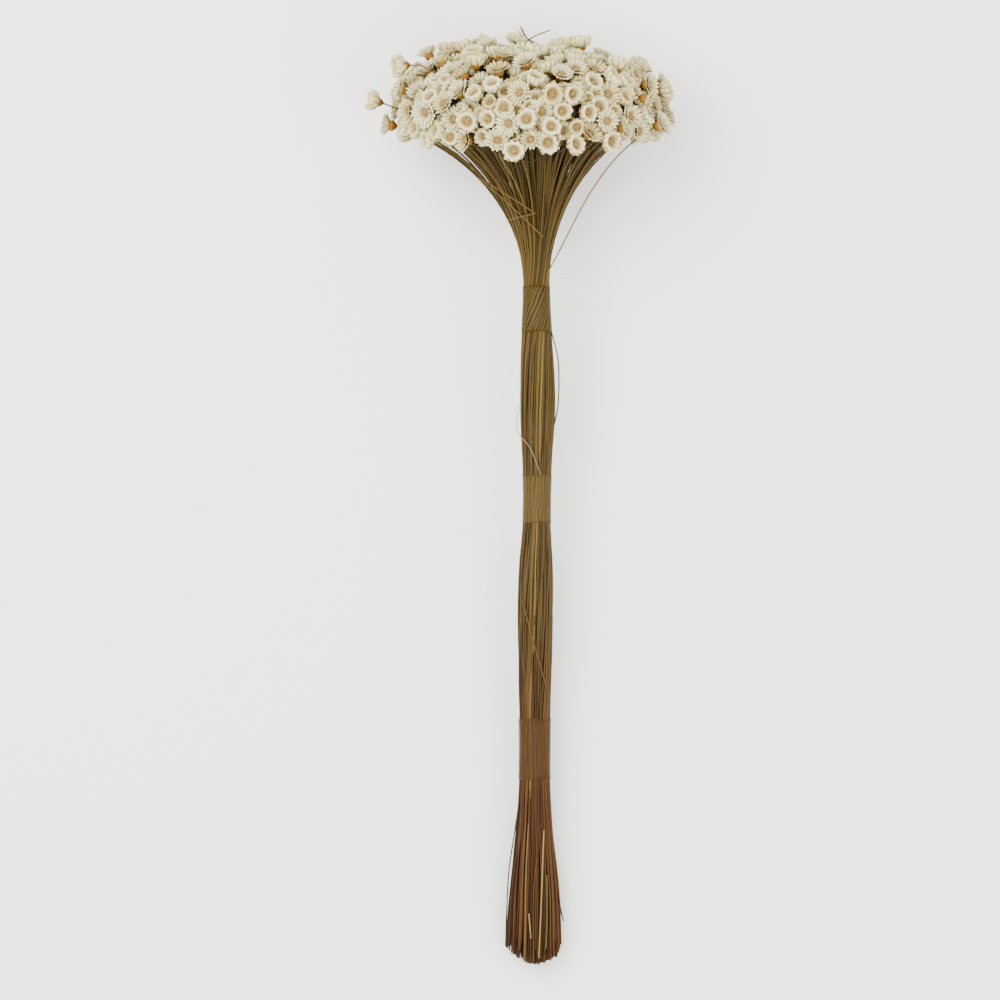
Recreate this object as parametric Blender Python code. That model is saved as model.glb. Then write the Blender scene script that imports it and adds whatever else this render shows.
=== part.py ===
"""A tied bunch of dried everlasting flowers, lying on a flat surface.

About two hundred thin stems run side by side under three bands of clear tape, fan out above the top
band and end in small star and cup shaped heads, packed into a flat-topped dome. The bunch lies along
+Y with its head at +Y and the surface at Z = 0. The stems are gathered into strands. Each strand
carries its own flowers above and its own cut ends below, and is one solid. Lengths are in
millimetres until a mesh is made, and then in metres.
"""

import itertools
import math
from dataclasses import dataclass, field

import bmesh
import bpy
import numpy as np
from mathutils import Matrix, Vector
from mathutils.bvhtree import BVHTree

MM = 0.001

# Numbers of pieces
FLOWERS = 224
STRANDS = 24
CUT_ENDS_PER_STRAND = 2
SEED = 18
GOLDEN_ANGLE = math.pi * (3 - math.sqrt(5))

# The bundle's radius along the bunch, from the cut ends at 0
BUNDLE_RADIUS = [
    (0, 16.8),
    (40, 15.3),
    (63, 13.0),
    (81, 10.9),
    (108, 9.1),
    (148, 9.1),
    (193, 10.3),
    (216, 10.3),
    (240, 9.8),
    (258, 8.2),
    (294, 8.4),
    (312, 9.7),
    (334, 10.4),
    (352, 9.9),
    (374, 8.6),
    (390, 7.7),
    (404, 7.6),
    (412, 8.1),
    (420, 9.2),
]
# Sideways wander of the bundle's middle, and the turn of its stems round it in radians
BUNDLE_SWAY = [(0, -1.5), (108, -0.8), (193, -0.5), (275, 0.6), (334, 0.9), (387, 0.3), (420, 0.0)]
BUNDLE_TWIST = [(0, 1.7), (140, 1.65), (260, 1.3), (340, 1.12), (368, 0.95), (412, 0.07), (420, 0.0)]
# The head props the bunch up, so the bundle's middle rises from the cut ends, which lie pressed flat
MIDDLE_HEIGHT_AT_CUT = 8.4
MIDDLE_RISE = 0.09
CUT_FLATNESS = [(0, 0.58), (22, 0.7), (50, 0.87), (108, 1.0), (420, 1.0)]

# Strands
STRAND_STATIONS = [84, 108, 148, 200, 258, 294, 334, 370, 384, 397, 408]
STRAND_GAP = 0.34
STRAND_SPREAD = 0.86
STRAND_REACH = 0.25
STRAND_SIDES = 6
STRAND_TIP_SHARE = 0.7
SHORTEST_SIDE = 0.7

# Stems
STEM_RADIUS = 0.55
ROOT_RADIUS = 0.25
STEM_SIDES = 3
NECK = 410
ROOT_DEPTH = 4
CUT_END_DEPTH = 8
ROOT_GATHER = 0.7
NECK_HANDLE = 38
HEAD_HANDLE = 26
STEM_STEPS = (0.4, 0.72, 1.0)
CUT_END_OFFSET = 0.09
CUT_END_RAGGED = 5.0
CUT_END_CURVE = 8.0

# The head: a dome with a flat top and round shoulders, pressed flatter below by the surface
HEAD_SHIFT = -3.5
HEAD_HALF_WIDTH = 78.0
HEAD_ABOVE = 74.0
HEAD_BELOW = 48.5
HEAD_RIM = 497.0
HEAD_RISE = 41.0
HEAD_SQUARENESS = 3.0
RIM_POLAR = math.radians(94)
FRONT_CROWDING = 0.2
FRONT_DROOP = 11.0
PLACE_JITTER = 2.2
DEPTH_JITTER = 4.5
HEADING_JITTER = 0.22
LOW_FLOWERS = 24.0
LOW_HEADING = 0.3
LOWEST_CENTRE = 5.4

# How neighbours are pushed apart: the room round the face centre and at depths down the stem
ROOM = {0: 5.75, 7: 1.4, 14: 1.0, 21: 0.9, 28: 0.9}
SETTLE_ROUNDS = 40
SETTLE_SHARE = 0.15
STEM_ROOM = 1.45
BEND_ROUNDS = 30
NEIGHBOUR_DISTANCE = 12.0

# One flower head, from the foot of its calyx
CALYX_LENGTH = 4.2
CALYX_RADIUS = 3.0
FACE_HEIGHT = 7.0
RIM_INSET = 1.1
DISC_RISE = 0.5
STAR = {"petals": 5, "reach": (6.3, 8.0), "tip": 7.4}
CUP = {"petals": 4, "reach": (4.7, 6.0), "tip": 9.6}
CUP_SHARE = 0.25
CUP_SHARE_IN_FRONT = 0.85
CUP_ZONE = 48.0
CUP_ZONE_HEIGHT = 80.0
CLOSING = 0.94
CLOSING_ROUNDS = 14
CLEARANCE = 1.05

# Flowers that stand out of the dome: face centre and heading, the last on a stem bowed out of the fan
STRAYS = [
    ((-96.0, 509.0, 66.0), (-0.95, 0.25, 0.15)),
    ((-80.0, 527.0, 98.0), (-0.95, -0.1, 0.3)),
    ((74.0, 494.0, 88.0), (0.8, 0.3, 0.4)),
]
BOW_LEAN = (0.5, 0.85, 0.12)

# Bands of clear tape: the stations that each runs through
BANDS = {
    "tape_band_upper": (374, 388, 401),
    "tape_band_middle": (262, 290),
    "tape_band_lower": (110, 146),
}
BAND_THICKNESS = 0.6
BAND_CLEARANCE = 0.35
BAND_SIDES = 12

# The middle of the whole bunch's box, which is moved to X = 0 and Y = 0
BOX_MIDDLE = (-9.23, 275.75, 0.0)

STEM_SLOT, CALYX_SLOT, PETAL_SLOT, DISC_SLOT = range(4)


@dataclass
class Flower:
    """A stem and its flower: places in the unit disc of the bundle, then the flower's in the head."""

    strand: int
    root: np.ndarray
    even_centre: Vector
    even_heading: Vector
    centre: Vector
    heading: Vector
    kind: dict
    reach: float
    bowed: bool
    bend: Vector = field(default_factory=Vector)

    @property
    def foot(self):
        return self.centre - self.heading * FACE_HEIGHT


def clear_scene():
    for thing in list(bpy.data.objects):
        bpy.data.objects.remove(thing)


def finish(name, colour, roughness):
    """A plain Principled material of that colour."""
    made = bpy.data.materials.new(name)
    made.use_nodes = True
    shader = made.node_tree.nodes["Principled BSDF"]
    shader.inputs["Base Color"].default_value = (*colour, 1)
    shader.inputs["Roughness"].default_value = roughness
    shader.inputs["Metallic"].default_value = 0
    return made


def along(keys, place):
    """A smooth curve through the keys, read at each place."""
    places, values = np.array(keys, float).T
    slopes = np.gradient(values, places)
    place = np.clip(place, places[0], places[-1])
    k = np.clip(np.searchsorted(places, place) - 1, 0, len(places) - 2)
    span = places[k + 1] - places[k]
    u = (place - places[k]) / span
    rise = values[k + 1] - values[k]
    bend = (slopes[k] * span - rise) * (1 - u) - (slopes[k + 1] * span - rise) * u
    return values[k] + u * rise + u * (1 - u) * bend


def middle_height(place):
    return MIDDLE_HEIGHT_AT_CUT + MIDDLE_RISE * place


def bundle_matrix(place):
    """Carries the unit disc of the bundle to its cross-section at that place."""
    radius = float(along(BUNDLE_RADIUS, place))
    twist = float(along(BUNDLE_TWIST, place))
    upright = radius * min(1.0, float(along(CUT_FLATNESS, place)))
    sine, cosine = math.sin(twist), math.cos(twist)
    return Matrix(
        (
            (radius * cosine, -radius * sine, 0, float(along(BUNDLE_SWAY, place))),
            (0, 0, -1, place),
            (upright * sine, upright * cosine, 0, middle_height(place)),
            (0, 0, 0, 1),
        )
    )


def bundle_point(spot, place):
    """Where a spot of the unit disc is at that place along the bundle."""
    return bundle_matrix(place) @ Vector((*spot, 0))


def unit(vectors):
    return vectors / np.linalg.norm(vectors, axis=-1, keepdims=True)


def sunflower(count):
    """Evenly spread spots in the unit disc, and the turn of each round it."""
    number = np.arange(count)
    turn = number * GOLDEN_ANGLE
    out = np.sqrt((number + 0.5) / count)
    return out[:, None] * np.stack([np.cos(turn), np.sin(turn)], axis=1), turn


def dome(polar, turn):
    """Points of the head's dome and its outward headings, for angles from the crown and round it."""
    power = 2 / HEAD_SQUARENESS
    out = np.abs(np.sin(polar)) ** power
    up = np.sign(np.cos(polar)) * np.abs(np.cos(polar)) ** power
    side = np.sin(turn)
    depth = np.where(side > 0, HEAD_ABOVE, HEAD_BELOW)
    x = HEAD_SHIFT + HEAD_HALF_WIDTH * out * np.cos(turn)
    y = HEAD_RIM + HEAD_RISE * up - FRONT_DROOP * np.maximum(side, 0) ** 2 * out**4
    z = middle_height(y) + depth * out * side
    steep = HEAD_SQUARENESS - 1
    outward = out**steep
    upward = np.sign(up) * np.abs(up) ** steep
    heading = (outward * np.cos(turn) / HEAD_HALF_WIDTH, upward / HEAD_RISE, outward * side / depth)
    return np.stack([x, y, z], axis=1), unit(np.stack(heading, axis=1))


def even_polar(shares):
    """Angles from the crown that give each flower an equal share of the dome's surface."""
    grid = np.linspace(0, RIM_POLAR, 400)
    power = 2 / HEAD_SQUARENESS
    out = np.sin(grid) ** power * (HEAD_HALF_WIDTH + HEAD_BELOW) / 2
    up = np.sign(np.cos(grid)) * np.abs(np.cos(grid)) ** power * HEAD_RISE
    ring = np.hypot(np.diff(out), np.diff(up)) * (out[1:] + out[:-1]) / 2
    area = np.concatenate([[0], np.cumsum(ring)])
    return np.interp(shares, area / area[-1], grid)


def settle(centres, headings, pinned):
    """Pushes flowers clear of their neighbours and of the stems behind them, above the surface."""
    free = ~pinned[:, None]
    for _ in range(SETTLE_ROUNDS):
        push = np.zeros_like(centres)
        for (own_depth, own_room), (depth, room) in itertools.product(ROOM.items(), repeat=2):
            apart = (centres - own_depth * headings)[:, None] - (centres - depth * headings)[None]
            distance = np.linalg.norm(apart, axis=2) + np.eye(len(centres)) * 1e3
            short = np.maximum(own_room + room - distance, 0) / distance
            push += (apart * short[:, :, None]).sum(axis=1)
        centres = centres + push * free * SETTLE_SHARE
        centres[:, 2] = np.maximum(centres[:, 2], LOWEST_CENTRE)
    return centres


def lay_out_head():
    """Spots in the bundle, face centres, headings, kinds and wished reaches of the flowers."""
    rng = np.random.default_rng(SEED)
    spots, turn = sunflower(FLOWERS)
    turn = turn + FRONT_CROWDING * np.cos(turn)
    even = dome(even_polar((np.arange(FLOWERS) + 0.5) / FLOWERS), turn)
    centres = even[0] + rng.normal(0, PLACE_JITTER, even[0].shape)
    centres += even[1] * rng.uniform(-DEPTH_JITTER, DEPTH_JITTER, (FLOWERS, 1))
    headings = unit(even[1] + rng.normal(0, HEADING_JITTER, even[1].shape))
    headings[:, 2] *= np.where(centres[:, 2] < LOW_FLOWERS, LOW_HEADING, 1)
    headings = unit(headings)
    pinned = np.zeros(FLOWERS, bool)
    for place, heading in STRAYS:
        nearest = int(np.argmin(np.linalg.norm(centres - place, axis=1)))
        centres[nearest] = place
        headings[nearest] = unit(np.array(heading))
        pinned[nearest] = True
    centres = settle(centres, headings, pinned)
    in_front = np.exp(-((centres[:, 0] / CUP_ZONE) ** 2)) * (centres[:, 2] > CUP_ZONE_HEIGHT)
    cup_share = CUP_SHARE + (CUP_SHARE_IN_FRONT - CUP_SHARE) * in_front
    is_cup = rng.uniform(0, 1, FLOWERS) < cup_share
    low, high = np.where(is_cup[:, None], CUP["reach"], STAR["reach"]).T
    return spots * STRAND_SPREAD, even, (centres, headings), is_cup, rng.uniform(low, high), nearest


def lay_out_flowers(seeds):
    """Every flower, given to the strand whose seed is nearest its spot."""
    spots, even, (centres, headings), is_cup, reach, bowed = lay_out_head()
    flowers = []
    for i, spot in enumerate(spots):
        strand = int(np.argmin(np.linalg.norm(seeds - spot, axis=1)))
        kind = CUP if is_cup[i] else STAR
        heading = Vector(headings[i])
        # An odd count has a petal straight down, an even one has two beside that
        lowest_petal = math.cos(math.pi / kind["petals"]) if kind["petals"] % 2 == 0 else 1
        face_height = centres[i][2] + (kind["tip"] - FACE_HEIGHT) * heading.z
        to_surface = face_height / math.sqrt(1 - heading.z**2) / lowest_petal
        flowers.append(
            Flower(
                strand=strand,
                root=seeds[strand] + ROOT_GATHER * (spot - seeds[strand]),
                even_centre=Vector(even[0][i]),
                even_heading=Vector(even[1][i]),
                centre=Vector(centres[i]),
                heading=heading,
                kind=kind,
                reach=min(reach[i], to_surface),
                bowed=i == bowed,
            )
        )
    return flowers


def facing(heading):
    """A turning matrix whose Z axis is the heading and whose X axis is level."""
    z = Vector(heading).normalized()
    x = Vector((0, 0, 1)).cross(z).normalized()
    return Matrix((x, z.cross(x), z)).transposed().to_4x4()


def ring_frame(point, heading, radius):
    """Carries a unit circle to a ring of that radius round a point, square to the heading."""
    return Matrix.Translation(Vector(point) * MM) @ facing(heading) @ Matrix.Scale(radius * MM, 4)


def stem_point(flower, t):
    """A point of a stem, which follows its place in the even fan and turns to its flower near its end."""
    start = bundle_point(flower.root, NECK)
    way = (start - bundle_point(flower.root, NECK - 2)).normalized()
    if flower.bowed:
        way = Vector(BOW_LEAN).normalized()
    even_foot = flower.even_centre - flower.even_heading * FACE_HEIGHT
    leave = start + way * NECK_HANDLE
    arrive = even_foot - flower.even_heading * HEAD_HANDLE
    point = start * (1 - t) ** 3 + leave * 3 * t * (1 - t) ** 2
    point += arrive * 3 * t * t * (1 - t) + even_foot * t**3
    point += flower.bend * bend_share(t)
    turn = (flower.even_heading - flower.heading) * HEAD_HANDLE
    return point + (flower.foot - even_foot) * t**4 + (flower.foot - even_foot + turn) * 4 * t**3 * (1 - t)


def bend_share(t):
    """How much of a stem's bend is felt at t: all of it in the middle, none at the ends."""
    return 16 * (t * (1 - t)) ** 2


def stem_line(flower):
    """The corners of a stem, from its root in the strand to the foot of its flower."""
    root = bundle_point(flower.root, NECK - ROOT_DEPTH)
    return [root] + [stem_point(flower, t) for t in STEM_STEPS]


def bend_clear(flowers):
    """Bends stems that pass too close a little apart, above the roots that a strand's stems share."""
    sections = len(STEM_STEPS)
    shares = np.array([0.0] + [bend_share(t) for t in STEM_STEPS])
    own, other = np.triu_indices(len(flowers) * sections, sections)
    strand = np.array([flower.strand for flower in flowers])
    kept = strand[own // sections] != strand[other // sections]
    kept |= (own % sections > 0) & (other % sections > 0)
    for _ in range(BEND_ROUNDS):
        own, other = own[kept], other[kept]
        lines = np.array([[tuple(point) for point in stem_line(flower)] for flower in flowers])
        starts, runs = lines[:, :-1].reshape(-1, 3), np.diff(lines, axis=1).reshape(-1, 3)
        at_own, at_other, gap = closest(starts[own], runs[own], starts[other], runs[other])
        distance = np.linalg.norm(gap, axis=1)
        kept = distance < NEIGHBOUR_DISTANCE
        for k in np.flatnonzero(distance < STEM_ROOM):
            push = Vector(gap[k]).normalized() * (STEM_ROOM - distance[k]) / 2
            for section, at, way in ((own[k], at_own[k], push), (other[k], at_other[k], -push)):
                i, step = divmod(section, sections)
                flowers[i].bend += way * (shares[step] * (1 - at) + shares[step + 1] * at)


def closest(p, along_p, q, along_q):
    """Where pairs of segments come closest, as shares of each, and the gap between them."""
    offset = p - q
    pp, qq, pq = (along_p**2).sum(1), (along_q**2).sum(1), (along_p * along_q).sum(1)
    p_off, q_off = (along_p * offset).sum(1), (along_q * offset).sum(1)
    at_p = np.clip((pq * q_off - p_off * qq) / np.maximum(pp * qq - pq**2, 1e-9), 0, 1)
    at_q = np.clip((pq * at_p + q_off) / qq, 0, 1)
    at_p = np.clip((pq * at_q - p_off) / pp, 0, 1)
    return at_p, at_q, offset + along_p * at_p[:, None] - along_q * at_q[:, None]


def start_face(bm, frame, sides):
    made = bmesh.ops.create_circle(bm, cap_ends=True, segments=sides, radius=1, matrix=frame)
    return made["verts"][0].link_faces[0]


def sweep(bm, faces, frames):
    """Extrudes faces from frame to frame and returns the faces at the end."""
    for here, there in zip(frames, frames[1:]):
        edges = {edge for face in faces for edge in face.edges}
        made = bmesh.ops.extrude_face_region(bm, geom=[*faces, *edges])["geom"]
        moved = [item for item in made if isinstance(item, bmesh.types.BMVert)]
        bmesh.ops.transform(bm, matrix=there @ here.inverted(), verts=moved)
        faces = [item for item in made if isinstance(item, bmesh.types.BMFace)]
    return faces


def open_flower(bm, stem_end, flower):
    """Widens a stem's end into the calyx, and raises petals from its rim round a sunken disc."""
    heading, kind = flower.heading, flower.kind
    rim_middle = flower.foot + heading * CALYX_LENGTH
    stem_edges = list(stem_end.edges)
    bmesh.ops.delete(bm, geom=[stem_end], context="FACES_ONLY")
    disc = start_face(bm, ring_frame(rim_middle, heading, CALYX_RADIUS), kind["petals"])
    calyx = bmesh.ops.bridge_loops(bm, edges=stem_edges + list(disc.edges))["faces"]
    roots = bmesh.ops.inset_region(bm, faces=[disc], thickness=RIM_INSET * MM)["faces"]
    bmesh.ops.translate(bm, vec=heading * DISC_RISE * MM, verts=list(disc.verts))
    disc.material_index = DISC_SLOT
    for face in calyx:
        face.material_index = CALYX_SLOT
    for root in roots:
        outward = root.calc_center_median() - rim_middle * MM
        outward = (outward - heading * outward.dot(heading)).normalized()
        petal = bmesh.ops.poke(bm, faces=[root])
        petal["verts"][0].co = (flower.foot + outward * flower.reach + heading * kind["tip"]) * MM
        for face in petal["faces"]:
            face.material_index = PETAL_SLOT


def flower_shape(flower, clearance=1.0):
    """One stem from its root in the strand to its open flower, larger by the clearance."""
    points = stem_line(flower)
    ways = [points[1] - points[0]]
    ways += [after - before for before, after in zip(points, points[2:])]
    ways.append(flower.heading)
    frames = [ring_frame(points[0], ways[0], ROOT_RADIUS * clearance)]
    turned = facing(ways[0])
    for point, before, way in zip(points[1:], ways, ways[1:]):
        turned = before.rotation_difference(way).to_matrix().to_4x4() @ turned
        size = Matrix.Scale(STEM_RADIUS * clearance * MM, 4)
        frames.append(Matrix.Translation(point * MM) @ turned @ size)
    bm = bmesh.new()
    [stem_end] = sweep(bm, [start_face(bm, frames[0], STEM_SIDES)], frames)
    open_flower(bm, stem_end, flower)
    return bm


def head_and_stem(flower):
    """The flower's head and its stem, a little enlarged and in millimetres, to test what they touch."""
    bm = flower_shape(flower, CLEARANCE)
    bm.verts.index_update()
    points = [vert.co / MM for vert in bm.verts]
    faces = {True: [], False: []}
    for face in bm.faces:
        faces[face.material_index != STEM_SLOT].append([vert.index for vert in face.verts])
    bm.free()
    return [BVHTree.FromPolygons(points, faces[part]) for part in (True, False)], points


def make_room(flowers):
    """Closes each flower little by little until it touches no other flower and no stem."""
    for _ in range(CLOSING_ROUNDS):
        shapes, points = zip(*[head_and_stem(flower) for flower in flowers])
        low, high = np.array([(np.min(p, axis=0), np.max(p, axis=0)) for p in points]).transpose(1, 0, 2)
        near = (low[:, None] <= high[None]).all(axis=2) & (low[None] <= high[:, None]).all(axis=2)
        touching = set()
        for i, j in np.argwhere(near & ~np.eye(len(flowers), dtype=bool)):
            if any(shapes[i][0].overlap(other) for other in shapes[j]):
                touching.add(i)
        for i in touching:
            flowers[i].reach *= CLOSING


def solid(name, bm, materials, collection):
    """Makes an object of the mesh, its faces outwards and its place in its mesh."""
    bmesh.ops.recalc_face_normals(bm, faces=bm.faces)
    if bm.calc_volume(signed=True) < 0:
        bmesh.ops.reverse_faces(bm, faces=bm.faces)
    mesh = bpy.data.meshes.new(name)
    bm.to_mesh(mesh)
    bm.free()
    for material in materials:
        mesh.materials.append(material)
    made = bpy.data.objects.new(name, mesh)
    collection.objects.link(made)
    return made


def cut_end(root, spot, cut_at):
    """One loose stem end, from its root in the strand down to the cut, no lower than the surface."""
    start = bundle_point(root, STRAND_STATIONS[0] + CUT_END_DEPTH)
    end = bundle_point(spot, cut_at)
    end.z = max(end.z, STEM_RADIUS / 2)
    frames = [ring_frame(point, (0, -1, 0), STEM_RADIUS) for point in (start, end)]
    bm = bmesh.new()
    sweep(bm, [start_face(bm, frames[0], STEM_SIDES)], frames)
    return bm


def clipped(outline, normal, limit):
    """The part of a convex outline on the near side of a line."""
    kept = []
    for a, b in zip(outline, outline[1:] + outline[:1]):
        over_a, over_b = a @ normal - limit, b @ normal - limit
        if over_a <= 0:
            kept.append(a)
        if over_a * over_b < 0:
            kept.append(a + (b - a) * over_a / (over_a - over_b))
    return kept


def strand_outlines():
    """The strands' seeds and cross-sections in the unit disc, each the space nearest its seed."""
    narrowest = min(radius for _, radius in BUNDLE_RADIUS)
    seeds = sunflower(STRANDS)[0] * STRAND_SPREAD
    outlines = []
    for k, seed in enumerate(seeds):
        corners = np.arange(STRAND_SIDES) / STRAND_SIDES * 2 * math.pi + math.atan2(seed[1], seed[0])
        outline = [seed + STRAND_REACH * np.array([math.cos(c), math.sin(c)]) for c in corners]
        for other in np.delete(seeds, k, axis=0):
            normal = unit(other - seed)
            limit = (other + seed) @ normal / 2 - STRAND_GAP / 2 / narrowest
            outline = clipped(outline, normal, limit)
        ends = zip(outline, outline[1:] + outline[:1])
        outlines.append([a for a, b in ends if np.linalg.norm(a - b) > SHORTEST_SIDE / narrowest])
    widest = max(np.linalg.norm(corner) for outline in outlines for corner in outline)
    return seeds / widest, [[corner / widest for corner in outline] for outline in outlines]


def strand_shape(outline, seed):
    """One strand of the bundle, swept through its stations and narrowed at both ends."""
    frames = []
    for place in STRAND_STATIONS:
        share = STRAND_TIP_SHARE if place in (STRAND_STATIONS[0], STRAND_STATIONS[-1]) else 1.0
        keep_seed = Matrix.Translation((*(seed * (1 - share)), 0)) @ Matrix.Scale(share, 4)
        frames.append(Matrix.Scale(MM, 4) @ bundle_matrix(place) @ keep_seed)
    bm = bmesh.new()
    corners = [bm.verts.new(frames[0] @ Vector((*corner, 0))) for corner in outline]
    sweep(bm, [bm.faces.new(corners)], frames)
    return bm


def keep_main_shell(mesh):
    """Fills any hollow that the union sealed, and drops any scrap."""
    bm = bmesh.new()
    bm.from_mesh(mesh)
    left = set(bm.faces)
    shells = []
    while left:
        shell, edge_of_shell = set(), {left.pop()}
        while edge_of_shell:
            shell |= edge_of_shell
            edge_of_shell = {n for f in edge_of_shell for e in f.edges for n in e.link_faces} - shell
        left -= shell
        shells.append(shell)
    shells.sort(key=len)
    for shell in shells[:-1]:
        bmesh.ops.delete(bm, geom=list(shell), context="FACES")
    bm.to_mesh(mesh)
    bm.free()


def join_in(main, members):
    """Fuses the members of a collection into the main object and removes them."""
    union = main.modifiers.new("Union", "BOOLEAN")
    union.operation = "UNION"
    union.operand_type = "COLLECTION"
    union.collection = members
    union.solver = "MANIFOLD"
    graph = bpy.context.evaluated_depsgraph_get()
    whole = bpy.data.meshes.new_from_object(main.evaluated_get(graph))
    main.modifiers.clear()
    main.data = whole
    for member in list(members.objects):
        bpy.data.objects.remove(member)
    bpy.data.collections.remove(members)
    keep_main_shell(whole)


def band_shape(stations):
    """A band of tape round the bundle, just clear of the strands, following its radius."""
    frames = []
    for place in stations:
        inside = (float(along(BUNDLE_RADIUS, place)) + BAND_CLEARANCE) / math.cos(math.pi / BAND_SIDES)
        middle = (float(along(BUNDLE_SWAY, place)), place, middle_height(place))
        frames.append(ring_frame(middle, (0, 1, 0), inside + BAND_THICKNESS))
    bm = bmesh.new()
    end = start_face(bm, frames[0], BAND_SIDES)
    thickness = BAND_THICKNESS * MM
    wall = bmesh.ops.inset_region(bm, faces=[end], thickness=thickness, use_boundary=True)["faces"]
    bmesh.ops.delete(bm, geom=[end], context="FACES")
    sweep(bm, wall, frames)
    return bm


def main():
    clear_scene()
    scene = bpy.context.scene.collection
    plant = [
        finish("stem_olive_brown", (0.22, 0.14, 0.045), 0.6),
        finish("calyx_golden_brown", (0.50, 0.20, 0.045), 0.5),
        finish("petal_ivory", (0.80, 0.75, 0.62), 0.7),
        finish("disc_tan", (0.55, 0.40, 0.20), 0.8),
    ]
    tape = finish("tape_clear", (0.45, 0.40, 0.27), 0.25)

    seeds, outlines = strand_outlines()
    flowers = lay_out_flowers(seeds)
    bend_clear(flowers)
    make_room(flowers)
    rng = np.random.default_rng(SEED + 1)
    for k, (seed, outline) in enumerate(zip(seeds, outlines)):
        name = f"flower_spray_{k + 1:02d}"
        spray = solid(name, strand_shape(outline, seed), plant, scene)
        members = bpy.data.collections.new(name)
        scene.children.link(members)
        for flower in flowers:
            if flower.strand == k:
                solid("flower", flower_shape(flower), plant, members)
        for n in range(CUT_ENDS_PER_STRAND):
            turn = 2 * math.pi * n / CUT_ENDS_PER_STRAND - BUNDLE_TWIST[0][1]
            offset = CUT_END_OFFSET * np.array([math.cos(turn), math.sin(turn)])
            cut_at = CUT_END_CURVE * seed[0] ** 2 + rng.uniform(0, CUT_END_RAGGED)
            solid("cut_end", cut_end(seed + offset / 2, seed + offset, cut_at), plant, members)
        join_in(spray, members)
    for name, stations in BANDS.items():
        solid(name, band_shape(stations), [tape], scene)

    to_middle = Matrix.Translation(Vector(BOX_MIDDLE) * -MM)
    for piece in scene.objects:
        piece.data.transform(to_middle)


main()
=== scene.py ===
"""Dresses a tied bunch of dried everlasting flowers that lies on a pale floor, seen from above.

The part's solids gather over two hundred stems into sprays with faceted flowers. Here every stem is
drawn whole from its cut end to its flower, and every flower gets its papery bracts, by the same rule
of layout as the solids. What the solids leave out is added: small half-open buds between the flowers,
bare and broken stems, loose stems at the sides and a fine thread. Lengths are in millimetres until a
piece is made.
"""

import itertools
import math
from dataclasses import dataclass

import bmesh
import bpy
import numpy as np
from mathutils import Matrix, Vector


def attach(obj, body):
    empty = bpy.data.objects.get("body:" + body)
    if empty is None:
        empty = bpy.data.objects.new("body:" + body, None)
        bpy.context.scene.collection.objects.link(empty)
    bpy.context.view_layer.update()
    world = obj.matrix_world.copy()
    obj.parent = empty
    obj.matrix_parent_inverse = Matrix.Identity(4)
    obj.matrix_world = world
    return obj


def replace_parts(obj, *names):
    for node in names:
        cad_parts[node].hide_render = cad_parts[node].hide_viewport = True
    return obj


MM = 0.001
TURN = 2 * math.pi

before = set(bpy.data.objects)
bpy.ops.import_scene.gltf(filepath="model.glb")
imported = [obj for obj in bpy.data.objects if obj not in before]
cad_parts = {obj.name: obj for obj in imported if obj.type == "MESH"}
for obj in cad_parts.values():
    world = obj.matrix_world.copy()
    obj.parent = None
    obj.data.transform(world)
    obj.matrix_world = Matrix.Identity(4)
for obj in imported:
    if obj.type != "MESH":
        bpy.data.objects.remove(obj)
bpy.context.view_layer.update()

# The bundle, as in the part's source: (place along the bunch from the cut, value)
BUNDLE_RADIUS = [
    (0, 16.8),
    (40, 15.3),
    (63, 13.0),
    (81, 10.9),
    (108, 9.1),
    (148, 9.1),
    (193, 10.3),
    (216, 10.3),
    (240, 9.8),
    (258, 8.2),
    (294, 8.4),
    (312, 9.7),
    (334, 10.4),
    (352, 9.9),
    (374, 8.6),
    (390, 7.7),
    (404, 7.6),
    (412, 8.1),
    (420, 9.2),
]
BUNDLE_SWAY = [(0, -1.5), (108, -0.8), (193, -0.5), (275, 0.6), (334, 0.9), (387, 0.3), (420, 0.0)]
BUNDLE_TWIST = [(0, 1.7), (140, 1.65), (260, 1.3), (340, 1.12), (368, 0.95), (412, 0.07), (420, 0.0)]
CUT_FLATNESS = [(0, 0.58), (22, 0.7), (50, 0.87), (108, 1.0), (420, 1.0)]
MIDDLE_HEIGHT_AT_CUT = 8.4
MIDDLE_RISE = 0.09
NECK = 410
BOX_MIDDLE = (-9.23, 275.75, 0.0)

# The head, as in the part's source
FLOWERS = 224
SEED = 18
GOLDEN_ANGLE = math.pi * (3 - math.sqrt(5))
HEAD_SHIFT = -3.5
HEAD_HALF_WIDTH = 78.0
HEAD_ABOVE = 74.0
HEAD_BELOW = 48.5
HEAD_RIM = 497.0
HEAD_RISE = 41.0
HEAD_SQUARENESS = 3.0
RIM_POLAR = math.radians(94)
POLAR_STEPS = 400
FRONT_CROWDING = 0.2
FRONT_DROOP = 11.0
PLACE_JITTER = 2.2
DEPTH_JITTER = 4.5
HEADING_JITTER = 0.22
LOW_FLOWERS = 24.0
LOW_HEADING = 0.3
LOWEST_CENTRE = 5.4
CUP_SHARE = 0.25
CUP_SHARE_IN_FRONT = 0.85
CUP_ZONE = 48.0
CUP_ZONE_HEIGHT = 80.0
# Flowers that stand out of the head: (place, heading). The last one's stem bows out to the right
STRAYS = [
    ((-96.0, 509.0, 66.0), (-0.95, 0.25, 0.15)),
    ((-80.0, 527.0, 98.0), (-0.95, -0.1, 0.3)),
    ((74.0, 494.0, 88.0), (0.8, 0.3, 0.4)),
]
# The room that a flower needs at each depth behind its face
ROOM = {0: 5.75, 7: 1.4, 14: 1.0, 21: 0.9, 28: 0.9}
SETTLE_ROUNDS = 40
SETTLE_SHARE = 0.15
OWN_DISTANCE = 1e3

# How a stem leaves the bundle and turns to its flower, as in the part's source
NECK_HANDLE = 38
NECK_BACK = 2
HEAD_HANDLE = 26
BOW_LEAN = (0.5, 0.85, 0.12)
FACE_HEIGHT = 7.0
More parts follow.
